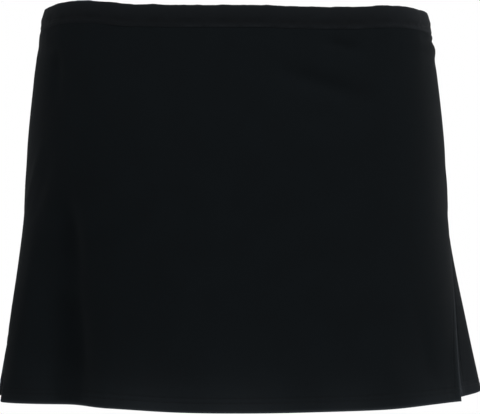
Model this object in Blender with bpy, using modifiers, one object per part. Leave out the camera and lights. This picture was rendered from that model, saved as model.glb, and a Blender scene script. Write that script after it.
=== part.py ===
"""Women's tennis skort: a flared skirt, open in a vent at each side, over fitted shorts, both hung from one
elastic waistband. It is shaped as worn, hollow, with no wearer.

Metres, +Z up, front towards -Y, the wearer's left towards +X. The origin is the middle of the waist, at half
the waistband's height. A drop is a depth below the waistband's top edge. An angle goes round the garment from
centre front, 90 degrees at the wearer's left side, 180 at centre back and -90 at the wearer's right side.
"""

import functools
import math
from typing import NamedTuple

import bmesh
import bpy
import numpy as np
from mathutils import Vector

# Lengths down the garment.
BAND_HEIGHT = 0.017
FRONT_LENGTH = 0.3255
VENT_DROP = 0.170
SEAT_DROP = 0.128
CROTCH_DROP = 0.214
LEG_DROP = 0.288

# Cloth and seams.
SKIRT_WALL = 0.0012
SHORTS_WALL = 0.0010
BAND_WALL = 0.0030
BAND_PROUD = 0.0004
SEAM_GAP = 0.0003
LAYER_GAP = 0.0005

# One leg of the shorts, as an ellipse seen from above.
LEG_CENTRE_X = 0.0885
LEG_CENTRE_Y = 0.006
CROTCH_HALF_WIDTH = 0.0860
CROTCH_HALF_DEPTH = 0.0930
HEM_HALF_WIDTH = 0.0780
HEM_HALF_DEPTH = 0.0850

# Faces across and down each piece.
FRONT_GRID = (42, 18)
BACK_GRID = (46, 18)
BAND_COLUMNS = 42
BAND_FOLD_STEPS = 4
LEG_COLUMNS = 32
HIP_ROWS, CROTCH_ROWS, LEG_ROWS = 5, 6, 4

RING_STEPS = 1440
WELD_DISTANCE = 1e-6


class Section(NamedTuple):
    """A level ring round the skirt. Squareness is 2 for an ellipse and more for a boxier ring."""

    drop: float
    half_width: float
    front: float
    back: float
    squareness: float


SECTIONS = (
    Section(0.0000, 0.1635, 0.105, 0.104, 2.75),
    Section(0.0170, 0.1665, 0.108, 0.109, 2.70),
    Section(0.0600, 0.1725, 0.114, 0.119, 2.55),
    Section(0.1070, 0.1778, 0.119, 0.128, 2.40),
    Section(0.1420, 0.1797, 0.121, 0.131, 2.30),
    Section(0.1700, 0.1812, 0.122, 0.132, 2.25),
    Section(0.2080, 0.1850, 0.124, 0.134, 2.15),
    Section(0.2460, 0.1888, 0.127, 0.137, 2.10),
    Section(0.2850, 0.1930, 0.131, 0.142, 2.05),
    Section(0.3255, 0.1995, 0.135, 0.147, 2.00),
)


class Fold(NamedTuple):
    """A soft lobe, or a trough where depth is negative, that deepens from the drop start to the drop full."""

    angle: float
    spread: float
    depth: float
    start: float
    full: float


FOLDS = (
    Fold(angle=-74, spread=16, depth=0.0105, start=0.145, full=0.290),
    Fold(angle=-60, spread=17, depth=-0.0140, start=0.130, full=0.300),
    Fold(angle=-42, spread=36, depth=-0.0080, start=0.150, full=0.325),
    Fold(angle=30, spread=20, depth=-0.0020, start=0.180, full=0.325),
    Fold(angle=72, spread=13, depth=0.0030, start=0.200, full=0.325),
    Fold(angle=89, spread=9, depth=-0.0060, start=0.175, full=0.325),
    Fold(angle=101, spread=15, depth=0.0210, start=0.125, full=0.325),
    Fold(angle=131, spread=16, depth=-0.0080, start=0.150, full=0.320),
    Fold(angle=158, spread=18, depth=0.0060, start=0.160, full=0.325),
    Fold(angle=184, spread=16, depth=-0.0060, start=0.150, full=0.325),
    Fold(angle=211, spread=17, depth=0.0080, start=0.150, full=0.325),
    Fold(angle=236, spread=15, depth=-0.0070, start=0.160, full=0.320),
    Fold(angle=258, spread=15, depth=0.0060, start=0.175, full=0.325),
)


class Rise(NamedTuple):
    """A stretch that stands above level, or below it where height is negative, most at the drop strong."""

    angle: float
    spread: float
    height: float
    strong: float
    faint: float


RISES = (
    Rise(angle=-84, spread=30, height=0.0050, strong=0.017, faint=0.140),
    Rise(angle=-56, spread=22, height=0.0068, strong=0.017, faint=0.140),
    Rise(angle=32, spread=26, height=-0.0012, strong=0.017, faint=0.140),
    Rise(angle=60, spread=16, height=0.0022, strong=0.017, faint=0.140),
    Rise(angle=84, spread=26, height=0.0020, strong=0.017, faint=0.140),
    Rise(angle=-52, spread=34, height=0.0012, strong=0.325, faint=0.200),
)


class Vent(NamedTuple):
    """How far each panel's edge stands short of the side line, round the ring, or past it where negative."""

    drop: float
    front_left: float
    back_left: float
    front_right: float
    back_right: float


VENTS = (
    Vent(VENT_DROP, 0.000, 0.000, 0.000, 0.000),
    Vent(0.2200, 0.014, -0.003, 0.012, 0.002),
    Vent(0.2750, 0.033, -0.006, 0.029, 0.004),
    Vent(FRONT_LENGTH, 0.047, -0.008, 0.043, 0.006),
)


class Ease(NamedTuple):
    """How far the shorts hang inside the skirt's outer face."""

    drop: float
    inset: float


SHORTS_EASE = (
    Ease(BAND_HEIGHT + SEAM_GAP, SKIRT_WALL + LAYER_GAP),
    Ease(0.060, 0.0050),
    Ease(0.107, 0.0070),
    Ease(0.170, 0.0090),
    Ease(CROTCH_DROP, 0.0130),
)

# Materials: sRGB colour, roughness.
BLACK_JERSEY = ("black jersey", (0.071, 0.075, 0.082), 0.82)
BLACK_SHORTS_JERSEY = ("black shorts jersey", (0.063, 0.066, 0.071), 0.70)
BLACK_BAND_JERSEY = ("black waistband jersey", (0.078, 0.082, 0.088), 0.80)


def clear_scene():
    for stray in list(bpy.data.objects):
        bpy.data.objects.remove(stray, do_unlink=True)


def to_linear(channel):
    return channel / 12.92 if channel <= 0.04045 else ((channel + 0.055) / 1.055) ** 2.4


def make_material(name, srgb, roughness):
    material = bpy.data.materials.new(name)
    material.use_nodes = True
    shader = material.node_tree.nodes["Principled BSDF"]
    shader.inputs["Base Color"].default_value = (*(to_linear(channel) for channel in srgb), 1.0)
    shader.inputs["Roughness"].default_value = roughness
    shader.inputs["Metallic"].default_value = 0.0
    return material


def ease_in_out(share):
    """0 to 1 with level ends."""
    share = min(max(share, 0.0), 1.0)
    return share * share * (3.0 - 2.0 * share)


def read(table, column, drop):
    """A table's column at any drop, on a smooth curve through its rows."""
    drops = [row.drop for row in table]
    values = [getattr(row, column) for row in table]
    drop = min(max(drop, drops[0]), drops[-1])
    low = min(int(np.searchsorted(drops, drop, side="right")) - 1, len(drops) - 2)
    slopes = []
    for at in (low, low + 1):
        before, after = max(at - 1, 0), min(at + 1, len(drops) - 1)
        slopes.append((values[after] - values[before]) / (drops[after] - drops[before]))
    step = drops[low + 1] - drops[low]
    t = (drop - drops[low]) / step
    return (
        (2 * t**3 - 3 * t**2 + 1) * values[low]
        + (t**3 - 2 * t**2 + t) * step * slopes[0]
        + (3 * t**2 - 2 * t**3) * values[low + 1]
        + (t**3 - t**2) * step * slopes[1]
    )


def bump(angles, centre, spread):
    """1 at the centre angle, falling smoothly to 0 at the spread on either side."""
    away = (angles - centre + 180.0) % 360.0 - 180.0
    return np.where(np.abs(away) < spread, 0.5 + 0.5 * np.cos(np.pi * away / spread), 0.0)


class Ring(NamedTuple):
    """A ring round the garment, from the wearer's right side round by centre front."""

    arcs: np.ndarray
    points: np.ndarray

    def at(self, arc):
        """The point this far round from centre front, towards the wearer's left."""
        return Vector([float(np.interp(arc, self.arcs, self.points[:, axis])) for axis in range(3)])

    def arc_at(self, angle):
        """How far round the ring the given angle lies."""
        return float(self.arcs[round((angle + 90.0) / 360.0 * RING_STEPS)])


@functools.lru_cache(maxsize=None)
def ring(drop, inset=0.0, folded=True):
    """The ring at this drop, moved inwards by inset."""
    angles = np.linspace(-90.0, 270.0, RING_STEPS + 1)
    sine, cosine = np.sin(np.radians(angles)), np.cos(np.radians(angles))
    depth = np.where(cosine > 0.0, read(SECTIONS, "front", drop), read(SECTIONS, "back", drop))
    power = read(SECTIONS, "squareness", drop)
    width = read(SECTIONS, "half_width", drop)
    radius = ((np.abs(sine) / width) ** power + (np.abs(cosine) / depth) ** power) ** (-1.0 / power)
    if folded:
        for fold in FOLDS:
            share = ease_in_out((drop - fold.start) / (fold.full - fold.start))
            radius = radius + fold.depth * share * bump(angles, fold.angle, fold.spread)
    x, y = radius * sine, -radius * cosine
    loop_x, loop_y = np.append(x[:-1], x[:2]), np.append(y[:-1], y[:2])
    along_x, along_y = np.gradient(loop_x)[:-1], np.gradient(loop_y)[:-1]
    along_x[0], along_y[0] = along_x[-1], along_y[-1]
    speed = np.hypot(along_x, along_y)
    x, y = x - inset * along_y / speed, y + inset * along_x / speed
    z = np.full_like(x, BAND_HEIGHT / 2 - drop)
    for rise in RISES:
        share = ease_in_out((rise.faint - drop) / (rise.faint - rise.strong))
        z = z + rise.height * share * bump(angles, rise.angle, rise.spread)
    arcs = np.concatenate([[0.0], np.cumsum(np.hypot(np.diff(x), np.diff(y)))])
    arcs = arcs - arcs[RING_STEPS // 4]
    return Ring(arcs, np.column_stack([x, y, z]))


def link(name, mesh_builder, material, collection):
    mesh = bpy.data.meshes.new(name)
    mesh_builder.to_mesh(mesh)
    mesh_builder.free()
    mesh.materials.append(material)
    mesh.shade_smooth()
    mesh.set_sharp_from_angle(angle=math.radians(40))
    piece = bpy.data.objects.new(name, mesh)
    collection.objects.link(piece)
    return piece


def laid_grid(columns, rows, place):
    """A grid whose points place(across, up) puts on the garment, with meeting edges made one."""
    grid = bmesh.new()
    bmesh.ops.create_grid(grid, x_segments=columns, y_segments=rows, size=0.5)
    for vert in grid.verts:
        vert.co = place(vert.co.x + 0.5, vert.co.y + 0.5)
    bmesh.ops.remove_doubles(grid, verts=grid.verts, dist=WELD_DISTANCE)
    return grid


def cloth(name, columns, rows, place, wall, material, collection):
    """One cut piece: its outer face as a grid, thickened inwards."""
    piece = link(name, laid_grid(columns, rows, place), material, collection)
    solidify = piece.modifiers.new("cloth thickness", "SOLIDIFY")
    solidify.thickness = wall
    solidify.offset = -1.0
    solidify.use_even_offset = True
    return piece


def front_edges(level, drop):
    """Where the front panel, or the waistband's front, begins and ends round the ring."""
    clear = SEAM_GAP / 2
    start = level.arc_at(-90.0) + clear + read(VENTS, "front_right", drop)
    end = level.arc_at(90.0) - clear - read(VENTS, "front_left", drop)
    return start, end


def back_edges(level, drop):
    clear = SEAM_GAP / 2
    start = level.arc_at(90.0) + clear + read(VENTS, "back_left", drop)
    end = level.arc_at(270.0) - clear - read(VENTS, "back_right", drop)
    return start, end


def on_skirt(edges, across, up):
    drop = FRONT_LENGTH + (BAND_HEIGHT + SEAM_GAP - FRONT_LENGTH) * up
    level = ring(round(drop, 7))
    start, end = edges(level, drop)
    return level.at(start + (end - start) * across)


def band_section(turn):
    """(inset, drop) on the waistband's folded section: up the outer face, over the fold, down the inner."""
    radius = BAND_WALL / 2
    straight = BAND_HEIGHT - radius
    steps = BAND_FOLD_STEPS + 3
    at = round(turn * steps)
    if at in (0, steps):
        return -BAND_PROUD, BAND_HEIGHT
    if at == steps - 1:
        return BAND_WALL - BAND_PROUD, BAND_HEIGHT
    bend = math.pi * (at - 1) / BAND_FOLD_STEPS
    return radius - BAND_PROUD - radius * math.cos(bend), BAND_HEIGHT - straight - radius * math.sin(bend)


def make_band(name, edges, material, collection):
    """Half of the folded waistband: its section swept round the waist and closed at both side seams."""

    def place(across, turn):
        inset, drop = band_section(turn)
        level = ring(round(drop, 7), round(inset, 7))
        start, end = edges(level, drop)
        return level.at(start + (end - start) * across)

    sweep = laid_grid(BAND_COLUMNS, BAND_FOLD_STEPS + 3, place)
    bmesh.ops.holes_fill(sweep, edges=[edge for edge in sweep.edges if edge.is_boundary])
    bmesh.ops.recalc_face_normals(sweep, faces=sweep.faces)
    return link(name, sweep, material, collection)


def shorts_level(up):
    """(drop, share of leg) up one leg: the leg below the crotch, then the crotch curve, then the hips."""
    row = round(up * (LEG_ROWS + CROTCH_ROWS + HIP_ROWS))
    if row <= LEG_ROWS:
        return LEG_DROP + (CROTCH_DROP - LEG_DROP) * row / LEG_ROWS, 1.0
    if row <= LEG_ROWS + CROTCH_ROWS:
        bend = math.pi / 2 * (1.0 - (row - LEG_ROWS) / CROTCH_ROWS)
        return SEAT_DROP + (CROTCH_DROP - SEAT_DROP) * math.sin(bend), 1.0 - math.cos(bend)
    top = BAND_HEIGHT + SEAM_GAP
    return SEAT_DROP + (top - SEAT_DROP) * (row - LEG_ROWS - CROTCH_ROWS) / HIP_ROWS, 0.0


def on_left_shorts(across, up):
    """A point of the wearer's left half, from the centre front seam round the hip to the centre back seam."""
    drop, leg_share = shorts_level(up)
    hips = ring(round(drop, 7), round(read(SHORTS_EASE, "inset", drop), 7), folded=False)
    hip = hips.at(hips.arc_at(180.0) * across)
    hip.x = max(hip.x, 0.0)
    down_leg = max(drop - CROTCH_DROP, 0.0) / (LEG_DROP - CROTCH_DROP)
    half_width = CROTCH_HALF_WIDTH + (HEM_HALF_WIDTH - CROTCH_HALF_WIDTH) * down_leg
    half_depth = CROTCH_HALF_DEPTH + (HEM_HALF_DEPTH - CROTCH_HALF_DEPTH) * down_leg
    turn = 2.0 * math.pi * across
    leg_x = LEG_CENTRE_X - half_width * math.cos(turn)
    leg_y = LEG_CENTRE_Y - half_depth * math.sin(turn)
    point = hip.lerp(Vector((leg_x, leg_y, hip.z)), leg_share)
    point.x += SEAM_GAP / 2
    return point


def on_right_shorts(across, up):
    point = on_left_shorts(1.0 - across, up)
    point.x = -point.x
    return point


def build():
    clear_scene()
    skort = bpy.data.collections.new("tennis skort")
    bpy.context.scene.collection.children.link(skort)
    jersey = make_material(*BLACK_JERSEY)
    shorts_jersey = make_material(*BLACK_SHORTS_JERSEY)
    band_jersey = make_material(*BLACK_BAND_JERSEY)
    for name, edges, (columns, rows) in (
        ("skirt_front", front_edges, FRONT_GRID),
        ("skirt_back", back_edges, BACK_GRID),
    ):
        cloth(name, columns, rows, functools.partial(on_skirt, edges), SKIRT_WALL, jersey, skort)
    for name, edges in (("waistband_front", front_edges), ("waistband_back", back_edges)):
        make_band(name, edges, band_jersey, skort)
    rows = LEG_ROWS + CROTCH_ROWS + HIP_ROWS
    for name, place in (("shorts_left", on_left_shorts), ("shorts_right", on_right_shorts)):
        cloth(name, LEG_COLUMNS, rows, place, SHORTS_WALL, shorts_jersey, skort)


build()
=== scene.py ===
"""Women's tennis skort, sewn and finished: a flared skirt with side vents over fitted shorts, on an elastic waistband.

Blender 4.5. Metres, +Z up, the front towards -Y, the wearer's left towards +X. The origin is the middle of the
waist, at half the waistband's height. A drop is a depth below the waistband's top edge. An angle goes round the
garment from centre front: 90 degrees is the wearer's left side, 180 centre back and -90 the wearer's right side.
An arc is a length round the garment from centre front, with the same sign.
"""

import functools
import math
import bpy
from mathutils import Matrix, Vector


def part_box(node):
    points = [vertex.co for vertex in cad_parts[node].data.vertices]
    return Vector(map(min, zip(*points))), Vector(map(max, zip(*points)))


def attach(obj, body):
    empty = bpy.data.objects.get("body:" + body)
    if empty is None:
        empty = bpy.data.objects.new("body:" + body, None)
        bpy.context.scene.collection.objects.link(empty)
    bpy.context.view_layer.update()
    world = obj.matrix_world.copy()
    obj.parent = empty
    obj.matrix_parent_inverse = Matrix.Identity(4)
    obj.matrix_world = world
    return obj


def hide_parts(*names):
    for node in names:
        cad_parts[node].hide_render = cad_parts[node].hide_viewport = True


bl_info = {
    "name": "Tennis Skort",
    "version": (1, 0, 0),
    "blender": (4, 5, 0),
    "location": "View3D > Sidebar > Skort",
    "description": "Sews the skort's panels, waistband and shorts, and sets them in a studio",
    "category": "Add Mesh",
}

from collections import namedtuple

import bpy
import numpy as np
from bpy.props import FloatProperty, FloatVectorProperty, PointerProperty
from mathutils import Vector

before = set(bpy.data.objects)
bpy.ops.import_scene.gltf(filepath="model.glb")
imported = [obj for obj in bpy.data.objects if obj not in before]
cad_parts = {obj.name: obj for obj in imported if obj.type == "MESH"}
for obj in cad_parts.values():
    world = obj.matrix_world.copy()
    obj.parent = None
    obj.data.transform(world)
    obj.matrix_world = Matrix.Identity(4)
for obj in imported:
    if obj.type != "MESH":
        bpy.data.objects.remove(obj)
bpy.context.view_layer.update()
BODY = "root"
MM = 0.001

# The garment's form: level rings from waist to hem, and folds that deepen towards the hem.

BAND_HEIGHT = 0.017
FRONT_LENGTH = 0.3255
VENT_DROP = 0.170
SEAT_DROP = 0.128
CROTCH_DROP = 0.214
LEG_DROP = 0.288
BAND_WALL = 0.0030
BAND_PROUD = 0.0004
SKIRT_WALL = 0.0012
LAYER_GAP = 0.0005
LEG_CENTRE_X = 0.0885
LEG_CENTRE_Y = 0.006
CROTCH_HALF_WIDTH = 0.0860
CROTCH_HALF_DEPTH = 0.0930
HEM_HALF_WIDTH = 0.0780
HEM_HALF_DEPTH = 0.0850
CROTCH_FORK = 0.012
CROTCH_CURVE = 1.35
RING_STEPS = 1440

# A level ring round the skirt. Squareness is 2 for an ellipse and more for a boxier ring.
Section = namedtuple("Section", "drop half_width front back squareness")
SECTIONS = tuple(Section(*row) for row in (
    (0.0, 0.1625, 0.105, 0.104, 2.75),
    (0.017, 0.1663, 0.108, 0.109, 2.7),
    (0.06, 0.1725, 0.114, 0.119, 2.55),
    (0.107, 0.1778, 0.119, 0.128, 2.4),
    (0.142, 0.1797, 0.121, 0.131, 2.3),
    (0.17, 0.1812, 0.122, 0.132, 2.25),
    (0.208, 0.185, 0.124, 0.134, 2.15),
    (0.246, 0.1888, 0.127, 0.137, 2.1),
    (0.285, 0.193, 0.131, 0.142, 2.05),
    (0.3255, 0.1995, 0.135, 0.147, 2.0),
))

# A soft lobe, or a trough where depth is negative, that deepens from the drop start to the drop full.
Fold = namedtuple("Fold", "angle spread depth start full")
FOLDS = tuple(Fold(*row) for row in (
    (-74, 16, 0.0097, 0.145, 0.29),
    (-60, 17, -0.014, 0.13, 0.3),
    (-42, 36, -0.008, 0.15, 0.325),
    (30, 20, -0.002, 0.18, 0.325),
    (62, 17, -0.0018, 0.185, 0.31),
    (79, 19, 0.0029, 0.19, 0.325),
    (89, 9, -0.006, 0.175, 0.325),
    (101, 15, 0.0199, 0.125, 0.325),
    (131, 16, -0.008, 0.15, 0.32),
    (158, 18, 0.006, 0.16, 0.325),
    (184, 16, -0.006, 0.15, 0.325),
    (211, 17, 0.008, 0.15, 0.325),
    (236, 15, -0.007, 0.16, 0.32),
    (258, 15, 0.006, 0.175, 0.325),
))

# A stretch that stands above level, or below it where height is negative, most at the drop strong.
Rise = namedtuple("Rise", "angle spread height strong faint")
RISES = tuple(Rise(*row) for row in (
    (-84, 30, 0.005, 0.017, 0.14),
    (-58, 21, 0.006, 0.017, 0.14),
    (-38, 18, 0.001, 0.017, 0.14),
    (32, 26, -0.0012, 0.017, 0.14),
    (60, 16, 0.0022, 0.017, 0.14),
    (84, 26, 0.002, 0.017, 0.14),
    (-52, 34, 0.0012, 0.325, 0.2),
    (72, 24, 0.0013, 0.325, 0.24),
    (104, 18, 0.0032, 0.325, 0.24),
))

# One length for each free edge of the skirt's panels, at a drop.
Edges = namedtuple("Edges", "drop front_left back_left front_right back_right")
# How far each edge stands short of the side line, round the ring, or past it where negative.
VENTS = tuple(Edges(*row) for row in (
    (VENT_DROP, 0.0, 0.0, 0.0, 0.0),
    (0.22, 0.0205, -0.003, 0.012, 0.002),
    (0.275, 0.0428, -0.006, 0.029, 0.004),
    (FRONT_LENGTH, 0.0565, -0.008, 0.043, 0.006),
))
# How far each edge curls in towards the body, or flicks out where negative, and the width that curls.
CURLS = tuple(Edges(*row) for row in (
    (VENT_DROP, 0.0, 0.0, 0.0, 0.0),
    (0.19, 0.0012, 0.0003, 0.0003, 0.0002),
    (0.205, 0.0012, 0.0006, 0.0005, 0.0002),
    (0.243, 0.0003, 0.0016, 0.0014, -0.0014),
    (0.265, -0.0007, 0.0021, 0.0026, -0.0034),
    (0.29, -0.0017, 0.0024, 0.003, -0.0052),
    (FRONT_LENGTH, -0.0018, 0.0024, 0.0026, -0.005),
))
CURL_REACH = Edges(0.0, 0.0160, 0.0160, 0.0110, 0.0320)

# How far the shorts hang inside the skirt's outer face.
Ease = namedtuple("Ease", "drop inset")
SHORTS_EASE = tuple(Ease(*row) for row in (
    (BAND_HEIGHT, SKIRT_WALL + LAYER_GAP),
    (0.024, 0.0034),
    (0.06, 0.005),
    (0.107, 0.007),
    (0.17, 0.009),
    (CROTCH_DROP, 0.013),
))

# A crease from one (angle, drop) to another: a soft ridge, or a trough where height is negative. It fades over
# fade_in and fade_out of its length, and bow bends its middle sideways. Width is half its breadth.
Crease = namedtuple("Crease", "angle drop to_angle to_drop width height bow fade_in fade_out")
SKIRT_CREASES = tuple(Crease(*row) for row in (
    # The drag lines that run down to the top of the right vent.
    (-66, 0.098, -82, 0.172, 0.0055, 0.0008, 0.003, 0.45, 0.25),
    (-61, 0.104, -77, 0.186, 0.0065, -0.0007, 0.003, 0.45, 0.4),
    (-84, 0.12, -88, 0.172, 0.006, 0.0006, 0.0, 0.5, 0.2),
    # The long trough and the narrow channel inside it.
    (-58.5, 0.126, -60, 0.248, 0.013, -0.0074, 0.001, 0.5, 0.42),
    (-61.4, 0.204, -60, 0.345, 0.0146, -0.0082, 0.001, 0.36, 0.42),
    (-70, 0.16, -72, 0.322, 0.0095, 0.002, 0.0, 0.45, 0.15),
    (-47, 0.13, -46, 0.322, 0.021, -0.002, 0.0, 0.4, 0.3),
    # The slanting dip over the left hip bone and the small one above it.
    (10, 0.046, 53, 0.0792, 0.0092, -0.0032, -0.0021, 0.42, 0.46),
    (12, 0.072, 52, 0.1, 0.02, -0.0015, -0.002, 0.4, 0.5),
    (31, 0.027, 48, 0.038, 0.0052, -0.0019, 0.0, 0.4, 0.4),
    # Short level wrinkles at the left side, under the waistband.
    (66, 0.0198, 99, 0.0204, 0.0024, 0.001, 0.0, 0.5, 0.3),
    (62, 0.024, 98, 0.025, 0.0026, -0.0008, 0.0, 0.5, 0.3),
    (60, 0.03, 98, 0.0325, 0.005, 0.0015, 0.0, 0.5, 0.3),
    (64, 0.04, 98, 0.043, 0.005, -0.0003, 0.0, 0.5, 0.3),
    # The hollow over the top of the left vent.
    (90, 0.112, 91, 0.188, 0.015, -0.0015, 0.0, 0.5, 0.5),
    # Pulls on the right hip.
    (-88, 0.03, -58, 0.036, 0.0045, -0.0008, -0.002, 0.3, 0.5),
    (-86, 0.052, -50, 0.068, 0.008, 0.0006, -0.004, 0.3, 0.6),
    (-64, 0.034, -62, 0.086, 0.006, -0.0018, 0.0, 0.4, 0.5),
    # Swellings and shallow troughs low on the front panel.
    (-33, 0.268, -5, 0.276, 0.025, 0.001, 0.0, 0.45, 0.45),
    (48, 0.262, 53, 0.318, 0.015, 0.0012, 0.0, 0.5, 0.3),
    (60, 0.225, 66, 0.32, 0.009, -0.0008, 0.0, 0.45, 0.3),
    (8, 0.18, 14, 0.31, 0.022, -0.0008, 0.004, 0.45, 0.35),
    # Pulls to the top of the left vent, on the front and on the back.
    (80, 0.118, 88, 0.172, 0.0055, 0.001, -0.002, 0.5, 0.2),
    (99, 0.112, 92, 0.174, 0.006, 0.001, 0.002, 0.5, 0.2),
    # The back: pulls under the waistband, dips at the small of the back, folds under the seat and, at 262 degrees, a
    # pull to the top of the right vent.
    (165, 0.03, 196, 0.034, 0.005, -0.0012, 0.003, 0.4, 0.4),
    (120, 0.038, 152, 0.056, 0.007, -0.0014, 0.004, 0.4, 0.5),
    (240, 0.036, 208, 0.06, 0.0075, -0.0018, -0.005, 0.4, 0.5),
    (128, 0.118, 170, 0.142, 0.009, -0.0017, -0.006, 0.5, 0.5),
    (232, 0.112, 190, 0.14, 0.0085, -0.002, 0.007, 0.5, 0.5),
    (236, 0.14, 239, 0.262, 0.0115, -0.0042, -0.002, 0.5, 0.4),
    (239, 0.215, 236, 0.345, 0.013, -0.005, 0.001, 0.35, 0.42),
    (134, 0.158, 130, 0.342, 0.0125, -0.0036, 0.003, 0.45, 0.4),
    (262, 0.12, 269, 0.172, 0.0055, 0.001, 0.0, 0.5, 0.2),
    (146, 0.165, 142, 0.318, 0.01, 0.0011, 0.004, 0.5, 0.2),
    (172, 0.19, 174, 0.322, 0.008, -0.001, -0.003, 0.5, 0.25),
    (224, 0.17, 222, 0.315, 0.0095, -0.0012, 0.003, 0.5, 0.25),
    (248, 0.19, 251, 0.32, 0.01, 0.001, 0.0, 0.5, 0.2),
))


def ease_in_out(share):
    """0 to 1 with level ends."""
    share = np.clip(share, 0.0, 1.0)
    return share * share * (3.0 - 2.0 * share)


def grown(value, start, run):
    """0 up to the start, growing to 1 at the run past it."""
    return ease_in_out((value - start) / run)


def between(value, start, end, run):
    """1 between the start and the end, falling to 0 over the run inside each."""
    return grown(value, start, run) * grown(-value, -end, run)


def bump(angles, centre, spread):
    """1 at the centre angle, falling smoothly to 0 at the spread on either side."""
    away = (angles - centre + 180.0) % 360.0 - 180.0
    return np.where(np.abs(away) < spread, 0.5 + 0.5 * np.cos(np.pi * away / spread), 0.0)


def read(table, column, drop):
    """A table's column at any drop, on a smooth curve through its rows."""
    drops = [row.drop for row in table]
    values = [getattr(row, column) for row in table]
    drop = min(max(drop, drops[0]), drops[-1])
    low = min(int(np.searchsorted(drops, drop, side="right")) - 1, len(drops) - 2)
    slopes = []
    for at in (low, low + 1):
        before, after = max(at - 1, 0), min(at + 1, len(drops) - 1)
        slopes.append((values[after] - values[before]) / (drops[after] - drops[before]))
    step = drops[low + 1] - drops[low]
    t = (drop - drops[low]) / step
    return (
        (2 * t**3 - 3 * t**2 + 1) * values[low]
        + (t**3 - 2 * t**2 + t) * step * slopes[0]
        + (3 * t**2 - 2 * t**3) * values[low + 1]
        + (t**3 - t**2) * step * slopes[1]
    )


class Ring(namedtuple("Ring", "arcs points outward")):
    """A level ring: arcs from centre front, with the point and the outward direction at each."""

    @property
    def length(self):
        return float(self.arcs[-1] - self.arcs[0])

    def arc_at(self, angle):
        """How far round the ring the given angle lies."""
        return float(np.interp((angle + 90.0) / 360.0 * RING_STEPS, np.arange(RING_STEPS + 1), self.arcs))

    def at(self, arcs):
        """Points and outward directions at these arcs."""
        points, outward = (
            np.column_stack([np.interp(arcs, self.arcs, kept[:, axis]) for axis in range(3)])
            for kept in (self.points, self.outward)
        )
        return points, outward / np.linalg.norm(outward, axis=1)[:, None]


@functools.lru_cache(maxsize=None)
def ring(drop, inset=0.0, folded=True):
    """The ring at this drop, moved inwards by inset."""
    angles = np.linspace(-90.0, 270.0, RING_STEPS + 1)
    sine, cosine = np.sin(np.radians(angles)), np.cos(np.radians(angles))
    depth = np.where(cosine > 0.0, read(SECTIONS, "front", drop), read(SECTIONS, "back", drop))
    power = read(SECTIONS, "squareness", drop)
    width = read(SECTIONS, "half_width", drop)
    radius = ((np.abs(sine) / width) ** power + (np.abs(cosine) / depth) ** power) ** (-1.0 / power)
    if folded:
        for fold in FOLDS:
            share = grown(drop, fold.start, fold.full - fold.start)
            radius = radius + fold.depth * share * bump(angles, fold.angle, fold.spread)
    x, y = radius * sine, -radius * cosine
    loop_x, loop_y = np.append(x[:-1], x[:2]), np.append(y[:-1], y[:2])
    along_x, along_y = np.gradient(loop_x)[:-1], np.gradient(loop_y)[:-1]
    along_x[0], along_y[0] = along_x[-1], along_y[-1]
    speed = np.hypot(along_x, along_y)
    outward = np.column_stack([along_y / speed, -along_x / speed, np.zeros_like(x)])
    x, y = x - inset * outward[:, 0], y - inset * outward[:, 1]
    z = np.full_like(x, BAND_HEIGHT / 2 - drop)
    for rise in RISES:
        share = ease_in_out((rise.faint - drop) / (rise.faint - rise.strong))
        z = z + rise.height * share * bump(angles, rise.angle, rise.spread)
    arcs = np.concatenate([[0.0], np.cumsum(np.hypot(np.diff(x), np.diff(y)))])
    return Ring(arcs - arcs[RING_STEPS // 4], np.column_stack([x, y, z]), outward)


def level(drop, inset=0.0, folded=True):
    """The ring at this drop, with the drop rounded so that equal levels share one ring."""
    return ring(round(float(drop), 7), round(float(inset), 7), folded)


def lifted(crease, away, beyond, run, fall):
    """How far a crease lifts the cloth at a place away and beyond its start, when it goes run round and fall on."""
    length = math.hypot(run, fall)
    share = (away * run + beyond * fall) / length**2
    side = (away * fall - beyond * run) / length - crease.bow * 4.0 * share * (1.0 - share)
    taper = ease_in_out(share / crease.fade_in) * ease_in_out((1.0 - share) / crease.fade_out)
    return crease.height * taper * np.exp(-((side / crease.width) ** 2))


def skirt_creases(arcs, drop):
    """How far all the skirt's creases together lift the cloth at these arcs of one level."""
    here = level(drop)
    total = np.zeros_like(arcs)
    for crease in SKIRT_CREASES:
        start = here.arc_at(crease.angle)
        away = (arcs - start + here.length / 2) % here.length - here.length / 2
        run, fall = here.arc_at(crease.to_angle) - start, crease.to_drop - crease.drop
        total += lifted(crease, away, drop - crease.drop, run, fall)
    return total


# One of the uneven waves in gathered, stitched and pinched cloth, and in the painted light and wear on the hem and the
# waistband.
Wave = namedtuple("Wave", "length height phase")
GATHER_WAVES = (Wave(0.0310, 0.45, 0.6), Wave(0.0187, 0.35, 2.9), Wave(0.0113, 0.20, 4.4))
PUCKER_WAVES = (Wave(0.0137, 0.45, 1.1), Wave(0.0089, 0.35, 3.7), Wave(0.0521, 0.20, 5.2))
PINCH_WAVES = (Wave(0.0093, 0.40, 2.3), Wave(0.0061, 0.35, 0.4), Wave(0.0274, 0.40, 4.0))
WEAR_AND_LIGHT_WAVES = (Wave(0.310, 0.35, 2.6), Wave(0.083, 0.20, 0.9))


def uneven(waves, arcs, shift=0.0):
    """A wave of about -1 to 1 that never quite repeats."""
    return sum(wave.height * np.sin(2.0 * math.pi * arcs / wave.length + wave.phase + shift) for wave in waves)


# Sizes and colours that a user may change.


def to_linear(hex_colour):
    """An sRGB hex colour as linear red, green and blue."""
    channels = [int(hex_colour[at : at + 2], 16) / 255.0 for at in (1, 3, 5)]
    return tuple(c / 12.92 if c <= 0.04045 else ((c + 0.055) / 1.055) ** 2.4 for c in channels)


def length_property(name, description, default):
    return FloatProperty(
        name=name, description=description, default=default, min=0.0, unit="LENGTH", subtype="DISTANCE", precision=5
    )


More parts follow.
